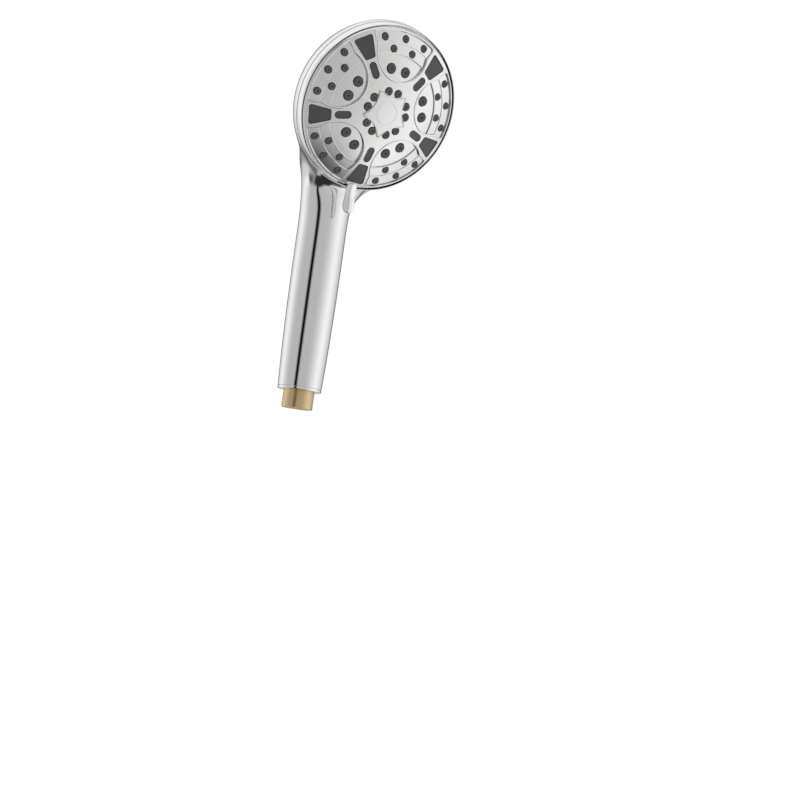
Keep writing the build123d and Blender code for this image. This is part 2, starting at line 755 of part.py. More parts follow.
with BuildPart() as detent_pin:
    head_post(detent_at, 90, detent_r, detent_tail_w, ride_w - 0.8)
    with BuildSketch(polar_plane(detent_at, 90, ride_w - 0.8)):
        Circle(detent_r)
    extrude(amount=0.8, taper=38)
save(detent_pin, "detent_pin")

with BuildPart() as detent_spring:
    spring_plane = polar_plane(detent_at, 90, detent_floor_w + 0.05)
    coil(spring_plane, detent_r - 0.4, 0.25, detent_spring_length - 0.1, 5)
save(detent_spring, "detent_spring")

# ---------------------------------------------------------------- waterway in the handle
cap_top_z = handle_bottom + end_cap_height
spigot_foot_z = cap_top_z + connector_body
spigot_top_z = spigot_foot_z + spigot_length
connector_ring_z = cap_top_z + connector_body / 2
tube_ring_z = spigot_foot_z + spigot_length * 0.6
spigot_r = tube_bore_r - spigot_clearance

with BuildPart() as inlet_connector:
    with BuildSketch(Plane.XZ):
        with BuildLine():
            Polyline(
                (0, 0),
                (thread_r, 0),
                (thread_r, thread_length),
                (thread_relief_r, thread_length),
                (thread_relief_r, cap_top_z),
                (connector_r, cap_top_z),
                (connector_r, spigot_foot_z),
                (spigot_r, spigot_foot_z),
                (spigot_r, spigot_top_z - 0.8),
                (spigot_r - 0.6, spigot_top_z),
                (0, spigot_top_z),
                close=True,
            )
        make_face()
        groove_wide = 2 * seal_ring_r + 0.2
        with Locations((connector_r, connector_ring_z)):
            Rectangle(2 * (2 * seal_ring_r - 0.1), groove_wide, mode=Mode.SUBTRACT)
        with Locations((spigot_r, tube_ring_z)):
            Rectangle(2 * (2 * small_ring_r - 0.05), 2 * small_ring_r + 0.1, mode=Mode.SUBTRACT)
    revolve(axis=Axis.Z)
    with BuildSketch(Plane.XY):
        Circle(inlet_bore_r)
    extrude(amount=inlet_bore_depth, mode=Mode.SUBTRACT)
    with BuildSketch(Plane.XY):
        Circle(connector_bore_r)
    extrude(amount=spigot_top_z, mode=Mode.SUBTRACT)
save(inlet_connector, "inlet_connector")

with BuildPart() as end_cap:
    with BuildSketch(Plane.XY.offset(handle_bottom)):
        Circle(grip_end_r)
        Circle(thread_r + slide_clearance, mode=Mode.SUBTRACT)
    extrude(amount=end_cap_height)
    fillet(end_cap.edges().group_by(Axis.Z)[0].sort_by(SortBy.RADIUS)[-1], radius=0.8)
save(end_cap, "end_cap")

with BuildPart() as connector_o_ring:
    torus_about(Plane.XY.offset(connector_ring_z), connector_r - seal_ring_r + 0.1, seal_ring_r)
save(connector_o_ring, "connector_o_ring")

with BuildPart() as tube_o_ring:
    torus_about(Plane.XY.offset(tube_ring_z), spigot_r - small_ring_r + 0.07, small_ring_r)
save(tube_o_ring, "tube_o_ring")

filter_z = 1.0
regulator_z = filter_z + filter_wall + 0.2
regulator_ring_z = regulator_z + regulator_wall + seal_ring_r

with BuildPart() as inlet_filter:
    with BuildSketch(Plane.XY.offset(filter_z)):
        Circle(inlet_bore_r - slide_clearance)
        with GridLocations(1.6, 1.6, 7, 7):
            Rectangle(1.1, 1.1, mode=Mode.SUBTRACT)
    extrude(amount=filter_wall)
save(inlet_filter, "inlet_filter")

with BuildPart() as flow_regulator:
    with BuildSketch(Plane.XY.offset(regulator_z)):
        Circle(inlet_bore_r - slide_clearance)
        with PolarLocations(4.2, 8):
            Circle(0.9, mode=Mode.SUBTRACT)
    extrude(amount=regulator_wall)
save(flow_regulator, "flow_regulator")

with BuildPart() as regulator_o_ring:
    torus_about(Plane.XY.offset(regulator_ring_z), inlet_bore_r - seal_ring_r - slide_clearance, seal_ring_r)
save(regulator_o_ring, "regulator_o_ring")

# The tube runs up the handle's axis, bends by the tilt and enters the housing's elbow
tube_bend_z = bend_z + (tube_depth - neck_depth) / sin(radians(tilt))
tube_end = at_head(0, tube_end_y, -tube_depth)

with BuildPart() as water_tube:
    with BuildLine() as tube_path:
        FilletPolyline(
            (0, 0, spigot_foot_z + 0.2),
            (0, 0, tube_bend_z),
            tube_end,
            radius=tube_bend_r,
        )
    with BuildSketch(Plane.XY.offset(spigot_foot_z + 0.2)):
        Circle(tube_r)
        Circle(tube_bore_r, mode=Mode.SUBTRACT)
    sweep(path=tube_path.line)
save(water_tube, "water_tube")
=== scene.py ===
import json
import math

import bmesh
import bpy
from mathutils import Matrix, Vector


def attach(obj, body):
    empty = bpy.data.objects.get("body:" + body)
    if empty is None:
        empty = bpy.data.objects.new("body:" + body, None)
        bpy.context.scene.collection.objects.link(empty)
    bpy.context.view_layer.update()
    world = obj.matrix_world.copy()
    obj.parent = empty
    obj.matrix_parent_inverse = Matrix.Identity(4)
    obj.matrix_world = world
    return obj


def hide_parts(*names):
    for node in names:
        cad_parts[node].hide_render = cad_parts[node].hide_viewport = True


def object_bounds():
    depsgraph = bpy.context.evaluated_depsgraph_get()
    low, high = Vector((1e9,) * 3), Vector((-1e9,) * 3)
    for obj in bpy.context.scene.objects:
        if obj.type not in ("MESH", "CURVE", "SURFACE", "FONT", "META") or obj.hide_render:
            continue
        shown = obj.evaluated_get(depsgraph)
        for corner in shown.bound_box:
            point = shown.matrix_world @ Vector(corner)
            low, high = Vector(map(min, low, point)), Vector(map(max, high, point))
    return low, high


# A handheld shower head: chrome handle and head in one shell, and a satin spray face that turns in it.
# Lengths are in metres. The head has its own axes: x to the right, y up the face, w out of the face.

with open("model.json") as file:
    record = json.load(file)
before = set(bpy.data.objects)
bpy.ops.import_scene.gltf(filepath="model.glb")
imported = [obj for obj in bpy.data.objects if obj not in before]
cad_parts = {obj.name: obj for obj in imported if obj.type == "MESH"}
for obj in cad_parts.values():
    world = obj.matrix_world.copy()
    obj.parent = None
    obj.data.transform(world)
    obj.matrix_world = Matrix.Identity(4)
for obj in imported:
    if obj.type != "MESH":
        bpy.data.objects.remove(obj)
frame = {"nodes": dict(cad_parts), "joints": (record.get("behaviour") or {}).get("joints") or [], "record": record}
cad_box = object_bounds()
MM = 0.001

turning = [joint for joint in frame["joints"] if joint["name"] == "face_turn"][0]
out = Vector(turning["axis"]).normalized()
right = Vector((1, 0, 0))
up = out.cross(right)
centre = Vector(turning["pos_m"])
head = Matrix.Translation(centre) @ Matrix((right, up, out)).transposed().to_4x4()


# ---------------------------------------------------------------- modelling help
def start_new():
    """Nothing selected, in object mode, ready for a new primitive."""
    if bpy.context.object and bpy.context.object.mode == "EDIT":
        bpy.ops.object.mode_set(mode="OBJECT")
    bpy.ops.object.select_all(action="DESELECT")


def only(piece):
    """Select this piece alone."""
    start_new()
    piece.select_set(True)
    bpy.context.view_layer.objects.active = piece


def modify(piece, kind, **settings):
    """Add a modifier, set it and apply it."""
    only(piece)
    modifier = piece.modifiers.new(kind.title(), kind)
    for name, value in settings.items():
        setattr(modifier, name, value)
    bpy.ops.object.modifier_apply(modifier=modifier.name)


def place(piece, matrix):
    """Put a piece made round the origin in its place and fix it there."""
    only(piece)
    piece.matrix_world = matrix
    bpy.ops.object.transform_apply()


def smooth(piece, degrees=35):
    only(piece)
    bpy.ops.object.shade_smooth_by_angle(angle=math.radians(degrees))


def outward(piece):
    """Merge doubles and turn every face outwards."""
    only(piece)
    bpy.ops.object.mode_set(mode="EDIT")
    bpy.ops.mesh.select_all(action="SELECT")
    bpy.ops.mesh.remove_doubles(threshold=0.01 * MM)
    bpy.ops.mesh.normals_make_consistent(inside=False)
    bpy.ops.object.mode_set(mode="OBJECT")


# ---------------------------------------------------------------- shader help
class Wire:
    """A shader socket. Sums and products of wires and numbers add their Math nodes."""

    def __init__(self, tree, socket=None):
        self.tree = tree
        self.socket = socket

    def node(self, kind, settings=None, inputs=None, output=0):
        made = self.tree.nodes.new(kind)
        for name, value in (settings or {}).items():
            if name == "stops":
                ramp = made.color_ramp
                while len(ramp.elements) < len(value):
                    ramp.elements.new(0.5)
                for element, (at, colour) in zip(ramp.elements, value):
                    element.position = at
                    element.color = colour
            else:
                setattr(made, name, value)
        for name, value in (inputs or {}).items():
            if isinstance(value, Wire):
                self.tree.links.new(value.socket, made.inputs[name])
            else:
                made.inputs[name].default_value = value
        return Wire(self.tree, made.outputs[output]) if len(made.outputs) else made

    def math(self, operation, first, second):
        return self.node("ShaderNodeMath", {"operation": operation}, {0: first, 1: second})

    def __add__(self, other):
        return self.math("ADD", self, other)

    def __radd__(self, other):
        return self.math("ADD", other, self)

    def __sub__(self, other):
        return self.math("SUBTRACT", self, other)

    def __rsub__(self, other):
        return self.math("SUBTRACT", other, self)

    def __mul__(self, other):
        return self.math("MULTIPLY", self, other)

    def __rmul__(self, other):
        return self.math("MULTIPLY", other, self)

    def __truediv__(self, other):
        return self.math("DIVIDE", self, other)


def grey(level):
    return (level, level, level, 1.0)


def start_material(name):
    """An empty material, its first wire and its Object coordinates."""
    material = bpy.data.materials.new(name)
    material.use_nodes = True
    material.node_tree.nodes.clear()
    tree = Wire(material.node_tree)
    spot = tree.node("ShaderNodeTexCoord", output=3)
    return material, tree, spot


def finish_material(tree, inputs):
    shader = tree.node("ShaderNodeBsdfPrincipled", {}, inputs)
    tree.node("ShaderNodeOutputMaterial", {}, {"Surface": shader})


def noise(tree, spot, scale, detail=3.0, rough=0.5):
    inputs = {"Vector": spot, "Scale": scale, "Detail": detail, "Roughness": rough}
    return tree.node("ShaderNodeTexNoise", {}, inputs)


def blend(tree, share, first, second):
    """A colour between two, by a wire."""
    settings = {"data_type": "RGBA"}
    return tree.node("ShaderNodeMix", settings, {0: share, 6: first, 7: second}, output=2)


def bump(tree, height, strength, distance):
    return tree.node("ShaderNodeBump", {}, {"Height": height, "Strength": strength, "Distance": distance})


def plated(name, light, dark, roughness, spread, grain=0.0):
    """Chrome plate: nearly clean, with faint water haze in its gloss."""
    material, tree, spot = start_material(name)
    haze = noise(tree, spot, 38.0, 4.0)
    specks = noise(tree, spot, 2600.0, 2.0)
    inputs = {
        "Base Color": blend(tree, haze, dark, light),
        "Metallic": 1.0,
        "Roughness": roughness + haze * spread,
        "Normal": bump(tree, specks, 0.02 + grain, 0.00002),
    }
    finish_material(tree, inputs)
    return material


def moulded(name, light, dark, roughness, grain, metallic=0.0, scale=900.0):
    """Moulded plastic, rubber or metal with a fine grain and slow drifts of colour."""
    material, tree, spot = start_material(name)
    drift = noise(tree, spot, 60.0, 3.0)
    fine = noise(tree, spot, scale, 3.0, 0.6)
    inputs = {
        "Base Color": blend(tree, drift * 0.6 + fine * 0.4, dark, light),
        "Metallic": metallic,
        "Roughness": roughness + fine * 0.12,
        "Normal": bump(tree, fine, grain, 0.0001),
    }
    finish_material(tree, inputs)
    return material


materials = {
    "chrome_shell": plated("chrome_shell", (0.86, 0.86, 0.87, 1), (0.80, 0.80, 0.81, 1), 0.03, 0.03),
    "chrome_trim": plated("chrome_trim", (0.88, 0.88, 0.88, 1), (0.82, 0.82, 0.83, 1), 0.04, 0.04),
    "satin_face": plated("satin_face", (0.86, 0.855, 0.845, 1), (0.80, 0.795, 0.785, 1), 0.17, 0.06, 0.1),
    "cap_chrome": plated("cap_chrome", (0.87, 0.865, 0.86, 1), (0.81, 0.805, 0.80, 1), 0.12, 0.06, 0.05),
    "silicone": moulded("silicone", (0.062, 0.060, 0.062, 1), (0.034, 0.033, 0.035, 1), 0.30, 0.2),
    "brass_inlet": moulded("brass_inlet", (0.76, 0.58, 0.32, 1), (0.62, 0.45, 0.22, 1), 0.22, 0.15, 1.0),
    "seal_rubber": moulded("seal_rubber", (0.035, 0.035, 0.035, 1), (0.02, 0.02, 0.02, 1), 0.5, 0.2),
    "white_plastic": moulded("white_plastic", (0.82, 0.82, 0.80, 1), (0.76, 0.76, 0.73, 1), 0.38, 0.15),
    "filter_mesh": moulded("filter_mesh", (0.86, 0.86, 0.84, 1), (0.78, 0.78, 0.75, 1), 0.45, 0.3),
    "regulator_plastic": moulded(
        "regulator_plastic", (0.20, 0.46, 0.30, 1), (0.14, 0.36, 0.22, 1), 0.35, 0.2
    ),
    "acetal": moulded("acetal", (0.88, 0.88, 0.86, 1), (0.82, 0.82, 0.79, 1), 0.28, 0.1),
    "steel": moulded("steel", (0.64, 0.64, 0.65, 1), (0.52, 0.52, 0.54, 1), 0.24, 0.15, 1.0, 2200.0),
}


def dress(piece, slot):
    """Give a piece the finish of one of the record's material slots."""
    piece.data.materials.clear()
    piece.data.materials.append(materials[slot])


for row in frame["record"]["subparts"]:
    dress(frame["nodes"][row["node"]], row["material_slot"])


def finish_piece(piece, body, slot, *nodes):
    """Dress a new piece, let it ride on its body and stand for its CAD nodes."""
    dress(piece, slot)
    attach(piece, body)
    if nodes:
        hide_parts(*nodes)


# ---------------------------------------------------------------- camera
camera_spot = Vector((-0.5386, -0.9740, -0.0788))
camera_turn = math.radians(57.55)      # which way it looks, from +X towards +Y
camera_lift = math.radians(4.83)
camera_roll = math.radians(-7.76)
camera_forward = Vector((
    math.cos(camera_lift) * math.cos(camera_turn),
    math.cos(camera_lift) * math.sin(camera_turn),
    math.sin(camera_lift),
))
level_right = camera_forward.cross(Vector((0, 0, 1))).normalized()
level_up = level_right.cross(camera_forward)
camera_up = level_up * math.cos(camera_roll) + level_right * math.sin(camera_roll)
camera_right = camera_forward.cross(camera_up)
camera_axes = Matrix((camera_right, camera_right.cross(camera_forward), -camera_forward))
bpy.ops.object.select_all(action="DESELECT")
bpy.ops.object.camera_add()
camera = bpy.context.object
camera.matrix_world = Matrix.Translation(camera_spot) @ camera_axes.transposed().to_4x4()
camera.data.lens = 74.5
camera.data.sensor_width = 36.0
bpy.context.scene.camera = camera

# ---------------------------------------------------------------- floor and light
floor_drop = 0.30
floor_z = cad_box[0][2] - floor_drop
bpy.ops.mesh.primitive_circle_add(vertices=64, radius=14.0, fill_type="NGON", location=(0, 0, floor_z))
floor = bpy.context.object
floor.name = "floor"
floor.visible_glossy = False
material, tree, spot = start_material("floor_paint")
wash = noise(tree, spot, 1.5)
shade = blend(tree, wash, (0.90, 0.90, 0.90, 1), (0.86, 0.86, 0.87, 1))
finish_material(tree, {
    "Base Color": shade, "Roughness": 0.9, "Emission Color": shade, "Emission Strength": 0.55,
})
floor.data.materials.append(material)

camera_azimuth = math.degrees(math.atan2(-camera_forward.y, -camera_forward.x))
# The studio: a pale room with soft-edged upright cards round the piece.
# Each is (side in degrees to the right of the camera's side, half width, softness, brightness).
room_level = 0.55
right_softbox = (90, 30, 40, 1.1)
left_softbox = (-110, 20, 30, 1.1)
dark_flag = (-20, 8, 6, 0.0)        # draws one dark line down the chrome
right_edge_flag = (155, 6, 8, 0.1)  # this and the next part the chrome's edges from the pale room
left_edge_flag = (-155, 6, 8, 0.1)

world = bpy.data.worlds.new("studio")
bpy.context.scene.world = world
world.use_nodes = True
world.node_tree.nodes.clear()
sky = Wire(world.node_tree)
ray = sky.node("ShaderNodeTexCoord")
parts = sky.node("ShaderNodeSeparateXYZ", {}, {0: ray}).socket.node.outputs
east, north, high = (Wire(sky.tree, socket) for socket in parts)
angle = sky.node("ShaderNodeMath", {"operation": "ARCTAN2"}, {0: north, 1: east})
turned_by = angle / (2 * math.pi) + (1.5 - camera_azimuth / 360)
share = sky.math("FRACT", turned_by, 0.0)
band = grey(room_level)
for side, half_width, softness, level in (
    right_softbox, left_softbox, dark_flag, right_edge_flag, left_edge_flag,
):
    off = sky.math("ABSOLUTE", sky.math("FRACT", share - side / 360, 0.0) - 0.5, 0.0) * 360
    card = sky.node("ShaderNodeMapRange", {"interpolation_type": "SMOOTHSTEP"}, {
        "Value": off, "From Min": half_width + softness, "From Max": half_width - softness,
        "To Min": 0.0, "To Max": 1.0,
    })
    band = blend(sky, card, band, grey(level))
above = sky.node("ShaderNodeMapRange", {"interpolation_type": "SMOOTHSTEP"}, {
    "Value": high, "From Min": 0.55, "From Max": 0.85, "To Min": 0.0, "To Max": 1.0,
})
below = sky.node("ShaderNodeMapRange", {"interpolation_type": "SMOOTHSTEP"}, {
    "Value": high, "From Min": -0.75, "From Max": -0.95, "To Min": 0.0, "To Max": 1.0,
})
band = blend(sky, above, band, grey(1.0))
band = blend(sky, below, band, grey(0.03))
seen = sky.node("ShaderNodeLightPath")
backdrop = sky.node("ShaderNodeBackground", {}, {"Color": grey(1.0), "Strength": 1.05})
round_light = sky.node("ShaderNodeBackground", {}, {"Color": band, "Strength": 1.0})
mixed = sky.node("ShaderNodeMixShader", {}, {0: seen, 1: round_light, 2: backdrop})
sky.node("ShaderNodeOutputWorld", {}, {"Surface": mixed})
bpy.context.scene.view_settings.view_transform = "Standard"

# ---------------------------------------------------------------- shell
columns = 32
opening_half = 4                    # columns each side of the neck that open into it
neck_count = 22
head_r = 57.1
side_w = -11.5
dish_dome = 23.0
head_swell = 3 / (2 + math.cos(2 * math.pi / columns))
neck_swell = 3 / (2 + math.cos(2 * math.pi / neck_count))


def dish_level(turn):
    """Radius and height of a level of the round back, turn degrees down from its side."""
    bent = math.radians(turn)
    return head_r * math.cos(bent), side_w - dish_dome * math.sin(bent)


levels = [(56.5, -5.8), (57.1, side_w)] + [dish_level(turn) for turn in (25, 45, 62, 76)]


def head_loop(radius, w, count):
    """A ring of points across the head's axis, in edit mode or as a new piece."""
    turned_to = head.to_euler()
    bpy.ops.mesh.primitive_circle_add(
        vertices=count, radius=radius * MM, location=head @ Vector((0, 0, w * MM)), rotation=turned_to
    )


def neck_loop(where, along, half_x, half_y):
    """An oval ring of points across the neck, its flat side normal to along."""
    side = along.cross(right).normalized()
    bpy.ops.mesh.primitive_circle_add(vertices=neck_count, radius=1.0, location=(0, 0, 0))
    grown = Matrix.Diagonal((half_x * neck_swell * MM, half_y * neck_swell * MM, 1, 1))
    turned_to = Matrix((right, side, along)).transposed().to_4x4()
    mesh = bmesh.from_edit_mesh(bpy.context.object.data)
    for point in mesh.verts:
        if point.select:
            point.co = Matrix.Translation(where) @ turned_to @ grown @ point.co
    bmesh.update_edit_mesh(bpy.context.object.data)


def bridge(first, second):
    """Join two loops of points, given by their numbers, with a band of faces."""
    bpy.ops.mesh.select_all(action="DESELECT")
    mesh = bmesh.from_edit_mesh(bpy.context.object.data)
    for edge in mesh.edges:
        ends = {point.index for point in edge.verts}
        if len(edge.link_faces) < 2 and (ends <= set(first) or ends <= set(second)):
            edge.select = True
    bmesh.update_edit_mesh(bpy.context.object.data)
    bpy.ops.mesh.bridge_edge_loops()


def head_oval(below, half_width, front_w, back_w, lean=0.0):
    """Where, direction and half sizes of an oval across the neck, below the head's centre.

    Lean drops its front.
    """
    middle = (front_w + back_w) / 2
    half = (front_w - back_w) / 2
    where = head @ (Vector((0, -below, middle)) * MM)
    along = (up * math.cos(math.radians(lean)) + out * math.sin(math.radians(lean))).normalized()
    return where, along, half_width, half / math.cos(math.radians(lean))


def handle_oval(z, y, half, lean=0.0, wider=0.0):
    along = Vector((0, -math.sin(math.radians(lean)), math.cos(math.radians(lean))))
    return Vector((0, y, z)) * MM, along, half + wider, half


neck_loops = [
    head_oval(52.0, 29.8, -12.2, -38.2, 24.0),
    head_oval(61.0, 23.4, -12.2, -40.5, 6.0),
    handle_oval(142.0, -0.2, 16.7, 6.0, 0.9),
    handle_oval(130.0, 0.0, 16.65, 0.0),
    handle_oval(105.0, 0.0, 16.75),
    handle_oval(72.0, 0.0, 16.6),
    handle_oval(42.0, 0.0, 16.0),
    handle_oval(22.0, 0.0, 15.3),
    handle_oval(14.0, 0.0, 14.95),
]

start_new()
head_loop(levels[0][0] * head_swell, levels[0][1], columns)
shell = bpy.context.object
shell.name = "shell_body"
bpy.ops.object.transform_apply()
bpy.ops.object.mode_set(mode="EDIT")
for radius, w in levels[1:]:
    head_loop(radius * head_swell, w, columns)
rings = [range(columns * index, columns * (index + 1)) for index in range(len(levels))]
for first, second in zip(rings, rings[1:]):
    bridge(first, second)

head_back = head.inverted()

# the small round end of the back
bpy.ops.mesh.select_all(action="DESELECT")
mesh = bmesh.from_edit_mesh(shell.data)
mesh.verts.ensure_lookup_table()
last = set(rings[-1])
for edge in mesh.edges:
    if {point.index for point in edge.verts} <= last:
        edge.select = True
bmesh.update_edit_mesh(shell.data)
bpy.ops.mesh.fill_grid(span=columns // 4)
mesh = bmesh.from_edit_mesh(shell.data)
for point in mesh.verts:
    spot = head_back @ point.co / MM
    reach = math.hypot(spot.x, spot.y)
    if spot.z < levels[-2][1] - 0.5 and reach < levels[-1][0] * 0.98:
        w = side_w - dish_dome * math.sqrt(1 - (reach / head_r) ** 2)
        point.co = head @ (Vector((spot.x, spot.y, w)) * MM)
bmesh.update_edit_mesh(shell.data)

# the neck and the grip, down to the handle's end
loops = []
for where, along, half_x, half_y in neck_loops:
    bpy.ops.mesh.select_all(action="DESELECT")
    so_far = len(bmesh.from_edit_mesh(shell.data).verts)
    neck_loop(where, along, half_x, half_y)
    loops.append(range(so_far, so_far + neck_count))
for first, second in zip(loops, loops[1:]):
    bridge(first, second)

# the opening in the back's side, joined to the top of the neck
bpy.ops.mesh.select_all(action="DESELECT")
mesh = bmesh.from_edit_mesh(shell.data)
for face in mesh.faces:
    middle = head_back @ face.calc_center_median() / MM
    turn = math.degrees(math.atan2(middle.x, -middle.y))
    inside = levels[4][1] < middle.z < levels[1][1] and middle.length < head_r + 10
    if inside and abs(turn) < 360 / columns * opening_half:
        face.select = True
bmesh.update_edit_mesh(shell.data)
bpy.ops.mesh.delete(type="FACE")
mesh = bmesh.from_edit_mesh(shell.data)
for edge in mesh.edges:
    ends = [head_back @ point.co / MM for point in edge.verts]
    behind_rim = all(end.z < levels[0][1] - 1 and end.length < head_r + 20 for end in ends)
    if len(edge.link_faces) == 1 and behind_rim:
        edge.select = True
bmesh.update_edit_mesh(shell.data)
bpy.ops.mesh.bridge_edge_loops()
bpy.ops.object.mode_set(mode="OBJECT")
outward(shell)
modify(shell, "SUBSURF", levels=3, render_levels=3)
modify(shell, "SOLIDIFY", thickness=2.2 * MM, offset=-1.0, use_rim=True)
smooth(shell, 50)
finish_piece(shell, "handle", "chrome_shell", "handle_shell")

# ---------------------------------------------------------------- turned pieces
def turned(name, outline, steps=160, round_by=0.0):
    """A piece spun round Z from a closed outline of (radius, height) in mm, its corners rounded."""
    start_new()
    bpy.ops.mesh.primitive_circle_add(vertices=len(outline), radius=MM)
    piece = bpy.context.object
    piece.name = name
    bpy.ops.object.mode_set(mode="EDIT")
    mesh = bmesh.from_edit_mesh(piece.data)
    mesh.verts.ensure_lookup_table()
    for point, (radius, height) in zip(mesh.verts, outline):
        point.co = Vector((radius, 0, height)) * MM
    bmesh.update_edit_mesh(piece.data)
    bpy.ops.mesh.select_all(action="SELECT")
    bpy.ops.mesh.spin(steps=steps, angle=2 * math.pi, center=(0, 0, 0), axis=(0, 0, 1))
    bpy.ops.object.mode_set(mode="OBJECT")
    outward(piece)
    if round_by:
        modify(piece, "BEVEL", width=round_by * MM, segments=3, limit_method="ANGLE", harden_normals=False)
    smooth(piece, 40)
    return piece


trim_inner_r = 55.0
trim_r = 56.3
trim_back_w = -5.7
trim = turned("trim_band", [
    (trim_inner_r, -0.6), (trim_inner_r + 0.25, -0.05), (trim_inner_r + 0.6, -0.05),
    (trim_inner_r + 1.0, -2.2), (trim_r, trim_back_w), (trim_inner_r + 0.9, trim_back_w),
    (trim_inner_r + 0.9, -8.8), (trim_inner_r, -8.8),
], 224, 0.12)
place(trim, head)
finish_piece(trim, "handle", "chrome_trim", "trim_ring")

grip_end_r = 14.95
thread_r = 10.4775
end_ring_inner_r = thread_r + 0.05
end_ring_z = 12.0
end_ring_top_z = 14.0
end_ring = turned("end_ring", [
    (end_ring_inner_r, end_ring_z), (grip_end_r, end_ring_z),
    (grip_end_r, end_ring_top_z), (end_ring_inner_r, end_ring_top_z),
], 96, 0.5)
finish_piece(end_ring, "handle", "chrome_trim", "end_cap")

# ---------------------------------------------------------------- spray face
face_r = 54.2
face_apex = 11.0
dome_r = (face_r**2 + face_apex**2) / (2 * face_apex)
lobe_count = 5


def dome(reach, under=0.0):
    """Height of the face's dome, or of the dome that lies under it."""
    return math.sqrt((dome_r - under) ** 2 - reach**2) + face_apex - dome_r


def arc(middle_x, middle_y, radius, first, last, steps):
    turns = [math.radians(first + (last - first) * index / steps) for index in range(steps + 1)]
    return [(middle_x + radius * math.cos(turn), middle_y + radius * math.sin(turn)) for turn in turns]


def rounded(before, corner, after, radius, steps=5):
    """A corner rounded between two lines by a curve."""
    def toward(other):
        gap = math.hypot(other[0] - corner[0], other[1] - corner[1])
        return [corner[axis] + (other[axis] - corner[axis]) * radius / gap for axis in (0, 1)]
    start, end = toward(before), toward(after)
    curve = []
    for index in range(steps + 1):
        at = index / steps
        curve.append(tuple(
            start[axis] * (1 - at) ** 2 + 2 * corner[axis] * at * (1 - at) + end[axis] * at**2
            for axis in (0, 1)
        ))
    return curve


lobe_circle_r, lobe_circle_at, lobe_outer_r, corner_half = 19.0, 40.0, 52.7, 26.4


def lobe_outline():
    """The round-ended lobe that points up the face."""
    corner_turn = math.radians(90 - corner_half)
    corner = (lobe_outer_r * math.cos(corner_turn), lobe_outer_r * math.sin(corner_turn))
    next_on_rim = arc(0, 0, lobe_outer_r, 90 - corner_half + 6, 90 + corner_half - 6, 24)
    right_corner = rounded((lobe_circle_r, lobe_circle_at), corner, next_on_rim[0], 2.6)
    left_corner = [(-x, y) for x, y in reversed(right_corner)]
    return arc(0, lobe_circle_at, lobe_circle_r, 180, 360, 40) + right_corner + next_on_rim + left_corner


def lobe_arc(radius):
    """Points of an arc about the face's middle, from side to side of a lobe."""
    if radius < 44.3:
        y = (radius**2 + lobe_circle_at**2 - lobe_circle_r**2) / (2 * lobe_circle_at)
    else:
        y = math.sqrt(radius**2 - (lobe_circle_r + 0.4) ** 2)
    half = math.degrees(math.acos(y / radius))
    return arc(0, 0, radius, 90 - half, 90 + half, 32)


def turned_about(points, degrees):
    turn = math.radians(degrees)
    return [
        (x * math.cos(turn) - y * math.sin(turn), x * math.sin(turn) + y * math.cos(turn))
        for x, y in points
    ]


def star_outline():
    """The star round the cap: five hollow sides between rounded tips."""
    points = []
    for index in range(lobe_count):
        middle = 90 + 72 * index
        for step in range(-12, 13):
            off = step / 12
            reach = 10.6 + (16.3 - 10.6) * abs(off) ** 2.2
            turn = math.radians(middle + 34.5 * off)
            points.append((reach * math.cos(turn), reach * math.sin(turn)))
    return points


def bead(name, points, thickness, under, closed=True):
    """A rounded lip that follows points on the face, its middle a little under the dome."""
    data = bpy.data.curves.new(name, "CURVE")
    data.dimensions = "3D"
    data.bevel_depth = thickness * MM
    data.bevel_resolution = 2
    data.use_fill_caps = True
    line = data.splines.new("POLY")
    line.points.add(len(points) - 1)
    for point, (x, y) in zip(line.points, points):
        point.co = (x * MM, y * MM, dome(math.hypot(x, y), under) * MM, 1)
    line.use_cyclic_u = closed
    piece = bpy.data.objects.new(name, data)
    bpy.context.scene.collection.objects.link(piece)
    only(piece)
    bpy.ops.object.convert(target="MESH")
    return bpy.context.object


def join(pieces):
    only(pieces[0])
    for piece in pieces:
        piece.select_set(True)
    bpy.ops.object.join()
    return bpy.context.object


def cad_copy(node, name):
    """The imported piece's own mesh as a new piece."""
    copy = bpy.data.objects.new(name, frame["nodes"][node].data.copy())
    bpy.context.scene.collection.objects.link(copy)
    return copy


lips = []
for index in range(lobe_count):
    turn = 72 * index
    lips.append(bead("lip", turned_about(lobe_outline(), turn), 0.55, 0.10))
    lips.append(bead("lip", turned_about(lobe_arc(38.4), turn), 0.40, 1.20, closed=False))
    lips.append(bead("lip", turned_about(lobe_arc(45.0), turn), 0.30, 0.95, closed=False))
lips.append(bead("lip", star_outline(), 0.38, -0.50))
lips.append(bead("lip", arc(0, 0, 7.1, 0, 354, 59), 0.26, -0.70))
face_lips = join(lips)
face_lips.name = "face_lips"
place(face_lips, head)
smooth(face_lips, 60)
finish_piece(face_lips, "spray_face", "chrome_trim")

# ---------------------------------------------------------------- lever
# below the head's middle, half width, underside over the rim plane, depth
lever_stations = [
    (51.8, 3.95, 0.45, 1.4), (57.4, 3.95, 0.45, 1.4), (59.6, 3.9, 1.2, 2.1), (62.6, 4.2, 2.5, 2.9),
    (66.8, 5.2, 4.5, 3.3), (69.5, 4.1, 5.7, 2.6), (71.0, 2.2, 6.4, 1.5),
]
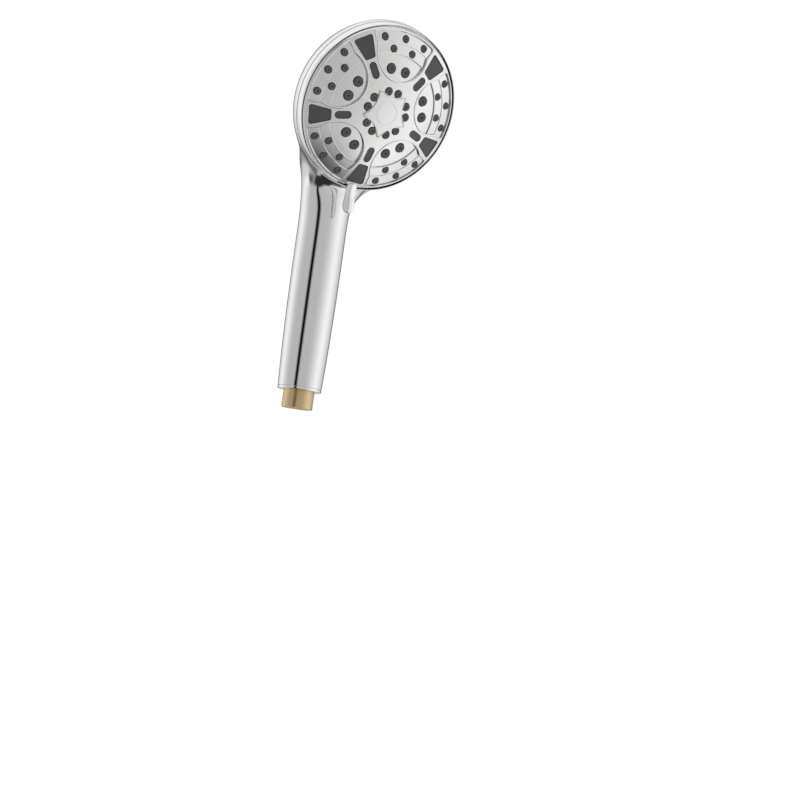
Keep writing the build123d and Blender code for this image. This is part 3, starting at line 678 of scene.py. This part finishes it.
# across and up an oval with a ridge, as shares of the half width and the depth
lever_section = [
    (0, 0), (0.6, 0), (0.95, 0.12), (1, 0.35), (0.82, 0.56), (0.42, 0.68), (0.17, 1),
    (-0.17, 1), (-0.42, 0.68), (-0.82, 0.56), (-1, 0.35), (-0.95, 0.12), (-0.6, 0),
]
start_new()
bpy.ops.mesh.primitive_circle_add(vertices=len(lever_section), radius=MM)
lever = bpy.context.object
lever.name = "thumb_lever"
bpy.ops.object.mode_set(mode="EDIT")
for _ in lever_stations[1:]:
    bpy.ops.mesh.primitive_circle_add(vertices=len(lever_section), radius=MM)
mesh = bmesh.from_edit_mesh(lever.data)
mesh.verts.ensure_lookup_table()
for place_at, (below_middle, half, lift, depth) in enumerate(lever_stations):
    for index, (across, high_share) in enumerate(lever_section):
        point = mesh.verts[place_at * len(lever_section) + index]
        point.co = Vector((across * half, -below_middle, lift + high_share * depth)) * MM
bmesh.update_edit_mesh(lever.data)
rows = [
    range(index * len(lever_section), (index + 1) * len(lever_section))
    for index in range(len(lever_stations))
]
for first, second in zip(rows, rows[1:]):
    bridge(first, second)
for row in (rows[0], rows[-1]):
    bpy.ops.mesh.select_all(action="DESELECT")
    mesh = bmesh.from_edit_mesh(lever.data)
    mesh.verts.ensure_lookup_table()
    for edge in mesh.edges:
        if {point.index for point in edge.verts} <= set(row):
            edge.select = True
    bmesh.update_edit_mesh(lever.data)
    bpy.ops.mesh.edge_face_add()
bpy.ops.object.mode_set(mode="OBJECT")
outward(lever)
modify(lever, "SUBSURF", levels=3, render_levels=3)
place(lever, head)
smooth(lever, 60)
finish_piece(lever, "spray_face", "chrome_trim", "selector_lever")

# ---------------------------------------------------------------- nozzle sheet
# ring radius, half angle between a pair, radius of the nub, how deep its floor lies
nozzles = [
    (14.5, 14.3, 2.82, 0.0), (28.7, 10.9, 3.42, 1.7), (41.0, 10.0, 2.47, 1.1),
    (48.3, 18.05, 2.47, 0.8), (48.3, 0.0, 2.47, 0.8),
]


def nub_model(radius):
    """One soft nub: a tapered post with a rounded rim and its jet hole."""
    start_new()
    bpy.ops.mesh.primitive_cone_add(
        vertices=28, radius1=radius * MM, radius2=radius * 0.93 * MM, depth=4.4 * MM,
        location=(0, 0, -1.6 * MM),
    )
    nub = bpy.context.object
    bpy.ops.object.transform_apply()
    bpy.ops.object.mode_set(mode="EDIT")
    bpy.ops.mesh.select_all(action="DESELECT")
    mesh = bmesh.from_edit_mesh(nub.data)
    for face in mesh.faces:
        if face.normal.z > 0.9:
            face.select = True
    bmesh.update_edit_mesh(nub.data)
    for inward, lift in ((0.10, 0.18), (0.16, 0.08), (0.40, -0.02), (0.10, -0.14), (0.05, -1.6)):
        bpy.ops.mesh.inset(thickness=radius * inward * MM, depth=lift * MM)
    bpy.ops.object.mode_set(mode="OBJECT")
    smooth(nub, 50)
    return nub


nubs = []
for ring_r, half, radius, under in nozzles:
    nub = nub_model(radius)
    for index in range(lobe_count):
        for side in (-1, 1) if half else (0,):
            turn = math.radians(90 + 72 * index + side * half)
            spot = Vector((ring_r * math.cos(turn), ring_r * math.sin(turn), dome(ring_r, under)))
            copy = nub.copy()
            copy.data = nub.data.copy()
            bpy.context.scene.collection.objects.link(copy)
            place(copy, head @ Matrix.Translation(spot * MM))
            nubs.append(copy)
    bpy.data.objects.remove(nub)

sheet = cad_copy("nozzle_sheet", "soft_sheet")
only(sheet)
bpy.ops.object.mode_set(mode="EDIT")
bpy.ops.mesh.select_all(action="DESELECT")
mesh = bmesh.from_edit_mesh(sheet.data)
centres = []
for ring_r, half, radius, under in nozzles:
    for index in range(lobe_count):
        for side in (-1, 1) if half else (0,):
            turn = math.radians(90 + 72 * index + side * half)
            centres.append((ring_r * math.cos(turn), ring_r * math.sin(turn), radius))
for face in mesh.faces:
    spot = head_back @ face.calc_center_median() / MM
    if spot.z < dome(math.hypot(spot.x, spot.y), 2.85):
        continue
    for x, y, radius in centres:
        if math.hypot(spot.x - x, spot.y - y) < radius + 0.05:
            face.select = True
bmesh.update_edit_mesh(sheet.data)
bpy.ops.mesh.delete(type="FACE")
bpy.ops.object.mode_set(mode="OBJECT")
finish_piece(sheet, "spray_face", "silicone", "nozzle_sheet")
soft_nubs = join(nubs)
soft_nubs.name = "soft_nubs"
finish_piece(soft_nubs, "spray_face", "silicone")
